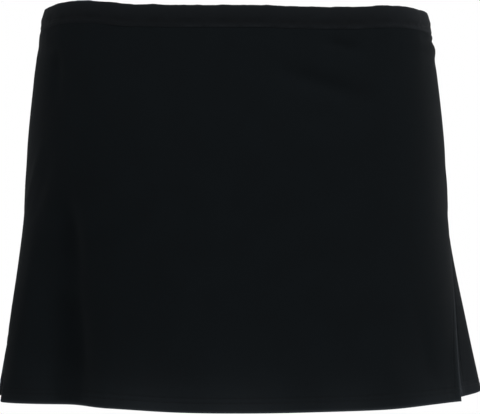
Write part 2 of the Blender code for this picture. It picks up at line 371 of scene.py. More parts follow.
def colour_property(name, description, hex_colour):
    return FloatVectorProperty(
        name=name, description=description, default=to_linear(hex_colour), size=3, min=0.0, max=1.0, subtype="COLOR"
    )


class SkortSizes(bpy.types.PropertyGroup):
    """How the skort is sewn."""

    cloth: length_property("Cloth thickness", "Thickness of one layer of jersey", 0.0008)
    band_cloth: length_property("Waistband cloth thickness", "Thickness of one layer of the waistband", 0.0006)
    hem_turn: length_property("Hem turn", "Depth of cloth turned up inside the skirt's hem", 0.0128)
    vent_turn: length_property("Vent turn", "Width of cloth turned back at the sides and vents", 0.0098)
    leg_turn: length_property("Leg turn", "Depth of cloth turned up inside each leg of the shorts", 0.0150)
    seam_dip: length_property("Seam dip", "How deep the cloth dips into a seam", 0.0009)
    seam_reach: length_property("Seam reach", "How far from a seam the cloth starts to dip", 0.0024)
    tuck: length_property("Tuck", "Depth of the skirt's top edge inside the waistband's seam", 0.0042)
    gather: length_property("Gather", "Height of the gathers under the waistband", 0.00042)
    pucker: length_property("Pucker", "Height of the puckers along a stitched hem", 0.00026)
    face_step: length_property("Face size", "Width of the faces in the middle of a panel", 0.0022)
    stitch: length_property("Stitch length", "Length of cloth that one stitch takes", 0.0027)
    thread: length_property("Thread width", "Thickness of the sewing thread as it lies", 0.00042)


class SkortColours(bpy.types.PropertyGroup):
    """The skort's blacks."""

    skirt: colour_property("Skirt jersey", "Dyed colour of the skirt's jersey", "#0A0D0F")
    waistband: colour_property("Waistband jersey", "Dyed colour of the jersey over the elastic", "#0C0E10")
    shorts: colour_property("Shorts jersey", "Dyed colour of the shorts' jersey", "#0B0D0E")
    thread: colour_property("Thread", "Dyed colour of the sewing thread", "#0A0B0D")
    # This greyer colour is also painted light: painted highlights on folded edges and a lighter hem and waistband.
    rubbed: colour_property("Rubbed edge", "Colour of the fibres that stand up along a folded edge", "#33373B")


def sizes():
    return bpy.context.scene.skort_sizes


# Finishes.


def feed(tree, node, inputs):
    """Gives each of a node's inputs a value, or the socket that feeds it."""
    for name, value in inputs.items():
        if isinstance(value, bpy.types.NodeSocket):
            tree.links.new(value, node.inputs[name])
        else:
            node.inputs[name].default_value = value


def add_node(tree, kind, inputs=None, out=0, **settings):
    """Adds a node with its settings and links, and gives its first output, the one called out, or all of them."""
    node = tree.nodes.new(kind)
    for name, value in settings.items():
        setattr(node, name, value)
    feed(tree, node, inputs or {})
    return node.outputs if out is None else node.outputs[out]


def new_material(name):
    """A material with its node tree, the shader in it and what adds a node to it."""
    material = bpy.data.materials.new(name)
    material.use_nodes = True
    tree = material.node_tree
    return material, tree, tree.nodes["Principled BSDF"], functools.partial(add_node, tree)


# A jersey's finish. Wale and course are the width and height of one knitted stitch, about 0.8 by 0.6 mm in the real
# cloth. They are drawn larger here, as fine as they can be and still show.
Knit = namedtuple("Knit", "name wale course relief roughness specular sheen sheen_roughness")
KNITS = {
    "skirt": Knit("Cotton-stretch jersey, black", 0.0013, 0.0010, 0.00016, 0.86, 0.022, 0.022, 0.42),
    "waistband": Knit("Jersey over elastic, black", 0.0014, 0.0010, 0.00018, 0.84, 0.028, 0.024, 0.42),
    "shorts": Knit("Smooth stretch jersey, black", 0.0011, 0.0009, 0.00010, 0.70, 0.060, 0.020, 0.38),
}
STITCH_SLANT = 1.6
FUZZ_SIZE = 0.6 * MM
PATCH_SIZE = 26.0 * MM
PATCH_SHADE = 0.08
PATCH_ROUGHNESS = 0.05
TWIST_SIZE = 0.35 * MM
TWIST_RELIEF = 0.05 * MM


def knitted_jersey(knit, colour, rubbed):
    """Piece-dyed black cotton-stretch jersey: ribs of small V-shaped stitches, fibre fuzz that catches light at the
    edges, and a greyer colour mixed in where folded edges are rubbed, which also paints highlights on those edges and
    painted light on the hem and the waistband."""
    material, tree, shader, add = new_material(knit.name)
    uv = add("ShaderNodeUVMap", uv_map="cloth")
    flat = add("ShaderNodeSeparateXYZ", {"Vector": uv}, out=None)

    # Each wale is two legs of a V. Across it, a leg runs from 0 to 0.5 and back.
    wales = add("ShaderNodeMath", {0: flat["X"], 1: knit.wale}, operation="DIVIDE")
    courses = add("ShaderNodeMath", {0: flat["Y"], 1: knit.course}, operation="DIVIDE")
    leg = add("ShaderNodeMath", {0: wales, 1: 0.5}, operation="PINGPONG")
    slanted = add("ShaderNodeMath", {0: leg, 1: STITCH_SLANT, 2: courses}, operation="MULTIPLY_ADD")
    turns = [add("ShaderNodeMath", {0: way, 1: 2.0 * math.pi}, operation="MULTIPLY") for way in (leg, slanted)]
    rib, loop = (add("ShaderNodeMath", {0: turn}, operation="SINE") for turn in turns)
    crown = add("ShaderNodeMath", {0: loop, 1: 0.3, 2: 0.6}, operation="MULTIPLY_ADD")
    stitch = add("ShaderNodeMath", {0: rib, 1: crown}, operation="MULTIPLY")
    fuzz = add("ShaderNodeTexNoise", {"Vector": uv, "Scale": 1.0 / FUZZ_SIZE, "Detail": 3.0})
    surface = add("ShaderNodeMath", {0: fuzz, 1: 0.5, 2: stitch}, operation="MULTIPLY_ADD")
    relief = {"Height": surface, "Strength": 0.55, "Distance": knit.relief}

    # The dye takes a little unevenly, and handling lifts the nap in soft patches.
    patches = add("ShaderNodeTexNoise", {"Vector": uv, "Scale": 1.0 / PATCH_SIZE, "Detail": 2.0})
    spread = {"Value": patches, "From Min": 0.3, "From Max": 0.7}
    shade, nap_and_painted_light = (
        add("ShaderNodeMapRange", {**spread, "To Min": mean - swing, "To Max": mean + swing})
        for mean, swing in ((1.0, PATCH_SHADE), (knit.roughness, PATCH_ROUGHNESS))
    )
    dyed = add("ShaderNodeVectorMath", {0: colour, "Scale": shade}, operation="SCALE")
    # The greyer mix is rubbed wear on folded edges together with painted light: painted highlights on edges, a lighter
    # hem and waistband, held back in troughs as painted shade.
    wear_and_painted_light_share = add("ShaderNodeAttribute", out="Fac", attribute_name="rubbed")
    looks = {
        "Normal": add("ShaderNodeBump", relief),
        "Base Color": add("ShaderNodeMix", {0: wear_and_painted_light_share, 6: dyed, 7: (*rubbed, 1.0)}, out=2, data_type="RGBA"),
        "Roughness": nap_and_painted_light,
        "Specular IOR Level": knit.specular,
        "Sheen Weight": knit.sheen,
        "Sheen Roughness": knit.sheen_roughness,
        "Sheen Tint": (0.86, 0.92, 1.0, 1.0),
    }
    feed(tree, shader, looks)
    return material


def polyester_thread(colour):
    """Spun black polyester sewing thread: smoother than the cloth, with the slant of its twist."""
    material, tree, shader, add = new_material("Spun polyester thread, black")
    place = add("ShaderNodeTexCoord", out="Object")
    twist = add("ShaderNodeTexNoise", {"Vector": place, "Scale": 1.0 / TWIST_SIZE, "Detail": 1.0})
    relief = {"Height": twist, "Strength": 0.3, "Distance": TWIST_RELIEF}
    shade = add("ShaderNodeMapRange", {"Value": twist, "To Min": 0.8, "To Max": 1.2})
    looks = {
        "Normal": add("ShaderNodeBump", relief),
        "Base Color": add("ShaderNodeVectorMath", {0: colour, "Scale": shade}, operation="SCALE"),
        "Roughness": 0.62,
        "Specular IOR Level": 0.08,
    }
    feed(tree, shader, looks)
    return material


@functools.lru_cache(maxsize=None)
def finishes():
    """The garment's materials, made once."""
    colours = bpy.context.scene.skort_colours
    made = {part: knitted_jersey(knit, getattr(colours, part), colours.rubbed) for part, knit in KNITS.items()}
    return {**made, "thread": polyester_thread(colours.thread)}


# Cloth.


def spaced(length, first, last, step=None, count=None):
    """Distances along a length: the given ones near its start and its end, and even ones between them, about a step
    apart, or as many as bring them all to the count."""
    low, high = first[-1], length - last[-1]
    parts = count - len(first) - len(last) + 1 if count else max(int(round((high - low) / step)), 1)
    return np.concatenate([first, np.linspace(low, high, parts + 1)[1:-1], length - np.array(last[::-1])])


def seam(distance, reach):
    """1 at a seam, falling to 0 at its reach."""
    return ease_in_out(1.0 - distance / reach) ** 1.5


def groove(distance, at, width):
    """1 at a row of stitches, falling to 0 either side of it."""
    return np.exp(-(((distance - at) / width) ** 2))


def put(name, data):
    """Puts a mesh, a lamp or a camera into the scene."""
    made = bpy.data.objects.new(name, data)
    bpy.context.scene.collection.objects.link(made)
    return made


# A piece of cloth as rows of points from its top edge down, with its flat coordinates, how many layers thick it is and
# how much greyer colour it has at each, for rubbed wear and for painted light.
Cloth = namedtuple("Cloth", "points flat layers rubbed")
CUT_EDGE = 0.32
MOST_STRAY = 0.006


def sew(name, cloth, thickness, material):
    """Makes a piece from its cloth: the outer face as a grid, thickened inwards, with its cut edges rounded."""
    rows, columns = cloth.points.shape[:2]
    index = np.arange(rows * columns).reshape(rows, columns)
    faces = np.stack([index[1:, :-1], index[1:, 1:], index[:-1, 1:], index[:-1, :-1]], axis=-1).reshape(-1, 4)
    mesh = bpy.data.meshes.new(name)
    mesh.from_pydata(cloth.points.reshape(-1, 3).tolist(), [], faces.tolist())
    uv = mesh.uv_layers.new(name="cloth")
    uv.data.foreach_set("uv", cloth.flat.reshape(-1, 2)[faces.ravel()].astype(np.float32).ravel())
    rubbed = mesh.attributes.new("rubbed", "FLOAT", "POINT")
    rubbed.data.foreach_set("value", cloth.rubbed.astype(np.float32).ravel())
    mesh.materials.append(material)
    mesh.shade_smooth()
    piece = put(name, mesh)
    group = piece.vertex_groups.new(name="layers")
    layers = cloth.layers.ravel()
    for count in np.unique(layers):
        group.add(np.flatnonzero(layers == count).tolist(), float(count / layers.max()), "REPLACE")
    solidify = piece.modifiers.new("cloth thickness", "SOLIDIFY")
    solidify.thickness = thickness * float(layers.max())
    solidify.offset = -1.0
    solidify.vertex_group = "layers"
    soften = piece.modifiers.new("cut edge", "BEVEL")
    soften.width = thickness * CUT_EDGE
    soften.segments = 2
    soften.limit_method = "ANGLE"
    soften.angle_limit = math.radians(75.0)
    return piece


def dress(node, cloth, jersey):
    """Sews the cloth for a node, dyes it, makes sure it keeps within a few millimetres of the node's part, makes it
    move with the body and hides the part.
    """
    thickness = sizes().band_cloth if jersey == "waistband" else sizes().cloth
    piece = sew(f"{node}_cloth", cloth, thickness, finishes()[jersey])
    low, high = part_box(node)
    bpy.context.view_layer.update()
    corners = np.array([corner[:] for corner in piece.evaluated_get(bpy.context.evaluated_depsgraph_get()).bound_box])
    stray = max(np.abs(corners.min(axis=0) - low).max(), np.abs(corners.max(axis=0) - high).max())
    if stray > MOST_STRAY:
        raise RuntimeError(f"{piece.name} strays {stray / MM:.1f} mm from {node}")
    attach(piece, BODY)
    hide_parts(node)


# The skirt. Steps are the distances from an edge at which the cloth has its closest rows of points.

EDGE_STEPS = (0.0, 0.0004, 0.0009, 0.0015, 0.0022, 0.0031, 0.0042, 0.0054)
VENT_STEPS = EDGE_STEPS + (0.0064, 0.0070, 0.0076, 0.0082, 0.0090, 0.0096, 0.0100, 0.0108, 0.0122)
HEM_STEPS = EDGE_STEPS + (0.0064, 0.0072, 0.0078, 0.0084, 0.0092, 0.0102, 0.0110, 0.0116, 0.0122, 0.0126, 0.0130,
                          0.0138, 0.0152)
TUCK_SHARES = (1.0, 0.75, 0.5, 0.25, 0.08)
TUCK_INSET = 0.00030
TUCK_RUN = 0.0010
FREE_RUN = 0.0035
GATHER_REACH = 0.016
HEM_NEEDLES = (0.0078, 0.0116)
VENT_NEEDLE = 0.0076
NEEDLE_WIDTH = 0.0009
NEEDLE_SINK = 0.00022
HEM_PUCKER_AT = 0.0095
HEM_PUCKER_WIDTH = 0.0065
VENT_EASE = 0.004
VENT_PUCKER = 0.8
VENT_PUCKER_WIDTH = 0.0045
EDGE_DIP = 0.45
EDGE_DIP_REACH = 0.0016
HEM_KICK = 0.0009
HEM_KICK_REACH = 0.030
# Greyer folded edges at the vents and the hem: rubbed wear with a painted highlight, less of it lower down the vents.
EDGE_WEAR_AND_HIGHLIGHT_REACH = 0.0011
VENT_WEAR_AND_HIGHLIGHT_REACH = 0.0018
VENT_WEAR_AND_HIGHLIGHT_EASE = 0.30
VENT_WEAR_AND_HIGHLIGHT_EASE_FROM = 0.250
VENT_WEAR_AND_HIGHLIGHT_EASE_RUN = 0.035
# Painted light over the lower skirt, lighter towards the hem, with less of it in troughs, which paints them darker as
# painted shade.
HEM_PAINTED_LIGHT = 0.13
HEM_PAINTED_LIGHT_REACH = 0.018
TROUGH_PAINTED_SHADE_DEPTH = 0.003
TROUGH_PAINTED_LIGHT_LEAST = 0.25

# Half of the skirt or of the waistband, between two side lines. Its vents are the names of its edges in VENTS.
Panel = namedtuple("Panel", "name from_angle to_angle from_vent to_vent")
FRONT = Panel("front", -90.0, 90.0, "front_right", "front_left")
BACK = Panel("back", 90.0, 270.0, "back_left", "back_right")
SIDES = (("left", False), ("right", True))


def panel_span(panel, here, drop):
    """Where the panel's cloth begins and ends round this level."""
    start = here.arc_at(panel.from_angle) + read(VENTS, panel.from_vent, drop)
    return start, here.arc_at(panel.to_angle) - read(VENTS, panel.to_vent, drop)


def lay(panel, drop, inset, steps, count, across=None):
    """A panel's row before it is shaped: points, outward directions, arcs, and distances to its first side edge, to
    its last and to the nearer one. Without a count it has one point, across from the first edge, or from the last
    where negative."""
    here = level(max(drop, 0.0), inset)
    start, end = panel_span(panel, here, drop)
    if count:
        across = spaced(end - start, steps, steps, count=count)
    else:
        across = np.array([across if across > 0.0 else end - start + across])
    from_last = end - start - across
    return *here.at(start + across), start + across, across, from_last, np.minimum(across, from_last)


def columns(panel, drop, steps):
    """How many points each row of a panel has, with faces of the usual size at this drop."""
    start, end = panel_span(panel, level(drop), drop)
    return len(spaced(end - start, steps, steps, sizes().face_step))


def skirt_row(panel, drop, count=None, across=None):
    """One row of a skirt panel: points, outward directions, arcs, and the distance to the nearer side edge."""
    points, outward, arcs, from_first, from_last, aside = lay(panel, drop, 0.0, VENT_STEPS, count, across)
    below = max(drop - BAND_HEIGHT - BAND_LAP, 0.0)
    up = FRONT_LENGTH - drop
    free = ease_in_out(below / FREE_RUN)
    vented = grown(drop, VENT_DROP - VENT_EASE, 2.0 * VENT_EASE)
    down_vent = uneven(PUCKER_WAVES, np.full_like(arcs, drop))
    lift = free * skirt_creases(arcs, drop)
    lift += sizes().gather * free * math.exp(-below / GATHER_REACH) * uneven(GATHER_WAVES, arcs)
    lift += sizes().pucker * groove(up, HEM_PUCKER_AT, HEM_PUCKER_WIDTH) * uneven(PUCKER_WAVES, arcs)
    lift += sizes().pucker * VENT_PUCKER * vented * groove(aside, VENT_NEEDLE, VENT_PUCKER_WIDTH) * down_vent
    sewn, free_side = (1.0 - vented) * seam(aside, sizes().seam_reach), vented * seam(aside, EDGE_DIP_REACH)
    edges = EDGE_DIP * np.maximum(free_side, seam(up, EDGE_DIP_REACH))
    lift -= sizes().seam_dip * np.maximum(sewn, edges)
    lift -= NEEDLE_SINK * sum(groove(up, needle, NEEDLE_WIDTH) for needle in HEM_NEEDLES)
    lift -= NEEDLE_SINK * vented * groove(aside, VENT_NEEDLE, NEEDLE_WIDTH)
    lift += HEM_KICK * max(1.0 - up / HEM_KICK_REACH, 0.0) ** 2
    if drop > VENT_DROP:
        for vent, inside in ((panel.from_vent, from_first), (panel.to_vent, from_last)):
            curl = np.clip(1.0 - inside / getattr(CURL_REACH, vent), 0.0, 1.0)
            lift -= read(CURLS, vent, drop) * curl**2
    tucked = seam(below, TUCK_RUN)
    lift = lift * (1.0 - tucked) - TUCK_INSET * tucked
    return points + outward * lift[:, None], outward, arcs, aside


def skirt_cloth(panel):
    """The cloth of one skirt panel."""
    drops = spaced(FRONT_LENGTH - BAND_HEIGHT, EDGE_STEPS, HEM_STEPS, sizes().face_step) + BAND_HEIGHT
    drops = np.concatenate([BAND_HEIGHT - sizes().tuck * np.array(TUCK_SHARES), drops])
    count = columns(panel, FRONT_LENGTH, VENT_STEPS)
    rows, flats, layers, rubbed = [], [], [], []
    for drop in drops:
        points, _, arcs, aside = skirt_row(panel, drop, count)
        up = FRONT_LENGTH - drop
        rows.append(points)
        flats.append(np.column_stack([arcs, np.full_like(arcs, -drop)]))
        layers.append(np.where((aside < sizes().vent_turn) | (up < sizes().hem_turn), 2.0, 1.0))
        # Along the vents' edges and the hem's fold the cloth is greyer: rubbed wear with a painted highlight.
        open_side = grown(drop, VENT_DROP - VENT_EASE / 2, VENT_EASE)
        open_side *= 1.0 - VENT_WEAR_AND_HIGHLIGHT_EASE * grown(drop, VENT_WEAR_AND_HIGHLIGHT_EASE_FROM, VENT_WEAR_AND_HIGHLIGHT_EASE_RUN)
        wear_and_painted_light_share = np.maximum(open_side * np.exp(-aside / VENT_WEAR_AND_HIGHLIGHT_REACH), math.exp(-up / EDGE_WEAR_AND_HIGHLIGHT_REACH))
        # Painted light lightens the cloth towards the hem; in the troughs it is held back, a painted shade.
        nap_and_painted_light = HEM_PAINTED_LIGHT * math.exp(-up / HEM_PAINTED_LIGHT_REACH) * (1.0 + uneven(WEAR_AND_LIGHT_WAVES, arcs))
        painted_light_outside_troughs = 1.0 + np.minimum(skirt_creases(arcs, drop), 0.0) / TROUGH_PAINTED_SHADE_DEPTH
        rubbed.append(np.maximum(wear_and_painted_light_share, nap_and_painted_light * np.clip(painted_light_outside_troughs, TROUGH_PAINTED_LIGHT_LEAST, 1.0)))
    return Cloth(np.array(rows), np.array(flats), np.array(layers), np.array(rubbed))


# The waistband. A rise is a height above its lower edge.

BAND_RISE_STEPS = (0.0, 0.0004, 0.0008, 0.0012, 0.0016, 0.0020, 0.0025, 0.0032, 0.0042, 0.0054, 0.0068, 0.0084, 0.0100,
                   0.0116, 0.0131, 0.0144)
BAND_FOLD_STEPS = 12
BAND_NEEDLE = 0.0044
BAND_LAP = 0.0015
BAND_FILL = 0.00065
BAND_FILL_HIGH = 1.4
BAND_RIPPLE = 0.00022
BAND_FREE_RUN = 0.004
BAND_CHANNEL_PINCH = 1.5
BAND_TOP_RIPPLE = 0.00030
BAND_TOP_PINCH = 0.00012
# Greyer waistband: rubbed wear with a painted highlight on the top fold and on the rolled lower edge, and painted light
# near the top.
BAND_TOP_WEAR_AND_HIGHLIGHT = 0.35
BAND_TOP_PAINTED_LIGHT = 0.10
BAND_TOP_PAINTED_LIGHT_REACH = 0.004
BAND_EDGE_WEAR_AND_HIGHLIGHT = 0.075
BAND_EDGE_REACH = 0.0024
BAND_SEAM_DIP = 0.55
# Round the waist, where the lower edge's roll starts, the run in which it grows and where it starts at the back.
BAND_ROLL_FROM, BAND_ROLL_RUN, BAND_ROLL_AGAIN = -0.054, 0.022, 0.250
# The stretch of the lower edge that stands off the skirt, how far, how high up and the run in which it parts.
BAND_GAPE_FROM, BAND_GAPE_TO, BAND_GAPE, BAND_GAPE_REACH, BAND_GAPE_RUN = -0.112, -0.045, 0.00035, 0.0020, 0.012
# Painted light on the waistband at the left and right hips, where it starts and ends and the run in which it grows.
BAND_LEFT_PAINTED_LIGHT, BAND_RIGHT_PAINTED_LIGHT = 0.070, 0.025
BAND_SIDE_LIGHT_FROM, BAND_SIDE_LIGHT_TO, BAND_SIDE_LIGHT_RUN = 0.105, 0.340, 0.060

# A line along the waistband: its rise, its width and how far it stands up, or sinks where negative.
Line = namedtuple("Line", "rise width height")
BAND_CHANNEL = Line(BAND_NEEDLE, 0.0021, -0.00042)
BAND_ROLL = Line(0.0013, 0.0012, 0.00022)
BAND_PINCH = Line(0.0070, 0.0030, 0.00042)
BAND_STITCHED = Line(BAND_NEEDLE, NEEDLE_WIDTH, -NEEDLE_SINK)
# Along the rolled lower edge the height is a share of greyer colour: rubbed wear with a painted highlight.
BAND_EDGE_WEAR_AND_HIGHLIGHT_LINE = Line(0.0011, 0.0008, BAND_EDGE_WEAR_AND_HIGHLIGHT)


def across_line(line, rise):
    """A line's height at this rise."""
    return line.height * groove(rise, line.rise, line.width)


def round_the_waist(arcs):
    """Distances from centre front the shorter way round, less than 0 on the wearer's right."""
    waist = level(BAND_HEIGHT).length
    return (arcs + waist / 2) % waist - waist / 2


def band_roll(arcs):
    """Where the waistband's lower edge rolls outwards: all round but for the right hip."""
    away = round_the_waist(arcs)
    return np.maximum(grown(away, BAND_ROLL_FROM, BAND_ROLL_RUN), grown(-away, BAND_ROLL_AGAIN, BAND_ROLL_RUN))


def band_side_painted_light(arcs):
    """How much painted light lightens the waistband at the hips."""
    away = round_the_waist(arcs)
    nap_and_painted_light = np.zeros_like(arcs)
    for most, out in ((BAND_LEFT_PAINTED_LIGHT, away), (BAND_RIGHT_PAINTED_LIGHT, -away)):
        nap_and_painted_light += most * between(out, BAND_SIDE_LIGHT_FROM, BAND_SIDE_LIGHT_TO, BAND_SIDE_LIGHT_RUN)
    return nap_and_painted_light


def band_profile():
    """(inset, drop, facing, rise) down the folded strip: up inside, over the fold and down outside. Facing is 1 on
    the outer face, -1 on the inner face and between them over the fold."""
    radius = BAND_WALL / 2
    rows = [(BAND_WALL - BAND_PROUD, BAND_HEIGHT - rise, -1.0, rise) for rise in BAND_RISE_STEPS]
    for step in range(1, BAND_FOLD_STEPS):
        bend = math.pi * step / BAND_FOLD_STEPS
        inset = radius - BAND_PROUD + radius * math.cos(bend)
        rows.append((inset, radius - radius * math.sin(bend), -math.cos(bend), BAND_HEIGHT - radius))
    return rows + [(-BAND_PROUD, BAND_HEIGHT - rise, 1.0, rise) for rise in reversed(BAND_RISE_STEPS)]


def band_row(panel, profile_row, count):
    """One row of the waistband's strip: points, outward directions and arcs."""
    inset, drop, facing, rise = profile_row
    drop += BAND_LAP * max(facing, 0.0) * max(1.0 - rise / BAND_HEIGHT, 0.0)
    points, outward, arcs, _, _, aside = lay(panel, drop, inset, EDGE_STEPS, count)
    height = min(rise / BAND_HEIGHT, 1.0)
    free = ease_in_out(rise / BAND_FREE_RUN)
    lift = np.full_like(arcs, BAND_FILL * free * math.sin(math.pi * height**BAND_FILL_HIGH))
    lift += BAND_RIPPLE * free * uneven(GATHER_WAVES, arcs, shift=0.7)
    lift += across_line(BAND_CHANNEL, rise) * (1.0 + BAND_CHANNEL_PINCH * uneven(PINCH_WAVES, arcs))
    lift += across_line(BAND_ROLL, rise) * band_roll(arcs)
    lift += across_line(BAND_PINCH, rise) * uneven(PINCH_WAVES, arcs, shift=0.4)
    lift += across_line(BAND_STITCHED, rise)
    lift -= sizes().seam_dip * BAND_SEAM_DIP * seam(aside, sizes().seam_reach)
    lift -= BAND_PROUD * seam(rise, BAND_EDGE_REACH)
    if panel.name == "front" and facing == 1.0:
        gape = between(arcs, BAND_GAPE_FROM, BAND_GAPE_TO, BAND_GAPE_RUN) * seam(rise, BAND_GAPE_REACH)
        lift += BAND_GAPE * gape * np.clip(0.8 + uneven(PINCH_WAVES, arcs), 0.0, 1.4)
    points = points + outward * facing * lift[:, None]
    ripple = BAND_TOP_RIPPLE * uneven(GATHER_WAVES, arcs, shift=2.1)
    ripple += BAND_TOP_PINCH * uneven(PINCH_WAVES, arcs, shift=1.0)
    points[:, 2] += (1.0 - abs(facing)) * (ripple - sizes().seam_dip * seam(aside, EDGE_DIP_REACH))
    return points, outward, arcs


def band_cloth(panel):
    """The folded strip of half the waistband."""
    count = columns(panel, BAND_HEIGHT, EDGE_STEPS)
    rows, flats, rubbed, travelled = [], [], [], 0.0
    for inset, drop, facing, rise in band_profile():
        points, _, arcs = band_row(panel, (inset, drop, facing, rise), count)
        if rows:
            travelled += float(np.linalg.norm(points[count // 2] - rows[-1][count // 2]))
        rows.append(points)
        flats.append(np.column_stack([arcs, np.full_like(arcs, -travelled)]))
        # The greyer colour: rubbed wear with a painted highlight on the top fold, painted light near the top and at the
        # hips, and rubbed wear with a painted highlight on the rolled lower edge.
        top = max(BAND_TOP_WEAR_AND_HIGHLIGHT * (1.0 - abs(facing)) ** 2, BAND_TOP_PAINTED_LIGHT * math.exp(-drop / BAND_TOP_PAINTED_LIGHT_REACH))
        edge = across_line(BAND_EDGE_WEAR_AND_HIGHLIGHT_LINE, rise) * (facing == 1.0) * band_roll(arcs)
        patchy = np.clip(0.6 + uneven(WEAR_AND_LIGHT_WAVES, arcs) + 0.7 * uneven(PINCH_WAVES, arcs), 0.0, 1.2)
        rubbed.append(top + band_side_painted_light(arcs) + edge * patchy)
    points = np.array(rows)
    return Cloth(points, np.array(flats), np.ones(points.shape[:2]), np.array(rubbed))


# The shorts.

LEG_STEPS = EDGE_STEPS + (0.0066, 0.0082, 0.0090, 0.0096, 0.0102, 0.0112, 0.0122, 0.0128, 0.0134, 0.0142, 0.0148,
                          0.0152, 0.0162, 0.0178)
LEG_NEEDLES = (0.0096, 0.0128)
LEG_PUCKER_AT = 0.0112
LEG_PUCKER_WIDTH = 0.007
LEG_COLUMNS = 150
LEG_ALLOWANCE = 0.0045
SEAM_SHARES = np.array([0.0, 0.0008, 0.0018, 0.0030, 0.0045, 0.0062, 0.0084, 0.0108])
MIRROR = np.array([-1.0, 1.0, 1.0])

# A soft crease in the shorts, from one (share round, share up) to another.
Whisker = namedtuple("Whisker", "across up to_across to_up width height bow fade_in fade_out", defaults=(0.0, 0.4, 0.5))
SHORTS_CREASES = tuple(Whisker(*row) for row in (
    (0.33, 0.62, 0.34, -0.12, 0.055, -0.0036),
    (0.03, 0.4, 0.2, 0.52, 0.02, -0.0014),
    (0.04, 0.34, 0.24, 0.42, 0.018, -0.001),
    (0.05, 0.47, 0.15, 0.6, 0.016, 0.0009),
    (0.96, 0.38, 0.8, 0.5, 0.02, -0.0015),
    (0.95, 0.33, 0.74, 0.38, 0.017, -0.0011),
    (0.93, 0.47, 0.84, 0.63, 0.018, 0.0009),
    (0.35, 0.14, 0.62, 0.17, 0.016, -0.0008),
    (0.4, 0.3, 0.58, 0.27, 0.018, 0.0008),
    (0.55, 0.6, 0.42, 0.74, 0.022, -0.0009),
))


def shorts_height():
    """Length of the shorts down the side, and where the leg, the crotch curve and the hips end, as shares up it."""
    leg = LEG_DROP - CROTCH_DROP
    curve = (CROTCH_DROP - SEAT_DROP) * CROTCH_CURVE
    total = leg + curve + SEAT_DROP - BAND_HEIGHT
    return total, leg / total, (leg + curve) / total


def shorts_level(up):
    """(drop, share of leg) at a share of the way up: the leg below the crotch, then its curve, then the hips."""
    _, leg_end, curve_end = shorts_height()
    if up <= leg_end:
        return LEG_DROP + (CROTCH_DROP - LEG_DROP) * up / leg_end, 1.0
    if up <= curve_end:
        bend = math.pi / 2 * (1.0 - (up - leg_end) / (curve_end - leg_end))
        return SEAT_DROP + (CROTCH_DROP - SEAT_DROP) * math.sin(bend), 1.0 - math.cos(bend)
    return SEAT_DROP + (BAND_HEIGHT - SEAT_DROP) * (up - curve_end) / (1.0 - curve_end), 0.0


def shorts_row(up, across):
    """One row of the left half: the smooth form's points at these shares round it."""
    drop, leg_share = shorts_level(up)
    hips = level(drop, read(SHORTS_EASE, "inset", drop), folded=False)
    hip, _ = hips.at(hips.arc_at(180.0) * across)
    hip[:, 0] = np.maximum(hip[:, 0], 0.0)
    down_leg = max(drop - CROTCH_DROP, 0.0) / (LEG_DROP - CROTCH_DROP)
    half_width = CROTCH_HALF_WIDTH + (HEM_HALF_WIDTH - CROTCH_HALF_WIDTH) * down_leg
    half_width += (LEG_CENTRE_X - CROTCH_HALF_WIDTH) * ease_in_out(1.0 - (drop - CROTCH_DROP) / CROTCH_FORK)
    half_depth = CROTCH_HALF_DEPTH + (HEM_HALF_DEPTH - CROTCH_HALF_DEPTH) * down_leg
    turn = 2.0 * math.pi * across
    leg_x, leg_y = LEG_CENTRE_X - half_width * np.cos(turn), LEG_CENTRE_Y - half_depth * np.sin(turn)
    return hip + (np.column_stack([leg_x, leg_y, hip[:, 2]]) - hip) * leg_share


def shorts_columns():
    """Shares round half of the shorts, closer together beside the seams."""
    across = np.linspace(0.0, 1.0, LEG_COLUMNS + 1)
    return np.concatenate([SEAM_SHARES, across[2:-2], 1.0 - SEAM_SHARES[::-1]])


# The left half of the shorts at some shares up it and round it: its points and outward directions, and how far each
# lies round from the front seam, from the nearer seam and up from the leg's edge.
ShortsForm = namedtuple("ShortsForm", "points outward round_length aside up_length")


def shorts_form(ups, across):
    """The left half's form with its creases, its seams' dips and its stitched hem."""
    rows = np.array([shorts_row(up, across) for up in ups])
    outward = np.cross(np.gradient(rows, axis=0), np.gradient(rows, axis=1))
    outward /= np.linalg.norm(outward, axis=2)[:, :, None]
    if np.mean(np.einsum("ijk,ijk->ij", outward, rows - rows.mean(axis=(0, 1)))) < 0.0:
        outward = -outward
    steps = np.linalg.norm(np.diff(rows, axis=1), axis=2)
    round_length = np.concatenate([np.zeros((len(ups), 1)), np.cumsum(steps, axis=1)], axis=1)
    aside = np.minimum(round_length, round_length[:, -1:] - round_length)
    up_length = np.abs(ups * shorts_height()[0])[:, None]
    lift = -sizes().seam_dip * seam(aside, sizes().seam_reach)
    for crease in SHORTS_CREASES:
        run, climb = crease.to_across - crease.across, crease.to_up - crease.up
        lift = lift + lifted(crease, across[None, :] - crease.across, ups[:, None] - crease.up, run, climb)
    lift = lift - NEEDLE_SINK * sum(groove(up_length, needle, NEEDLE_WIDTH) for needle in LEG_NEEDLES)
    lift += sizes().pucker * groove(up_length, LEG_PUCKER_AT, LEG_PUCKER_WIDTH) * uneven(PUCKER_WAVES, round_length)
    points = rows + outward * lift[:, :, None]
    closed = seam(aside, sizes().seam_reach) * (ups >= shorts_height()[1])[:, None]
    points[:, :, 0] += (rows[:, :, 0] - points[:, :, 0]) * closed
    return ShortsForm(points, outward, round_length, aside, up_length)


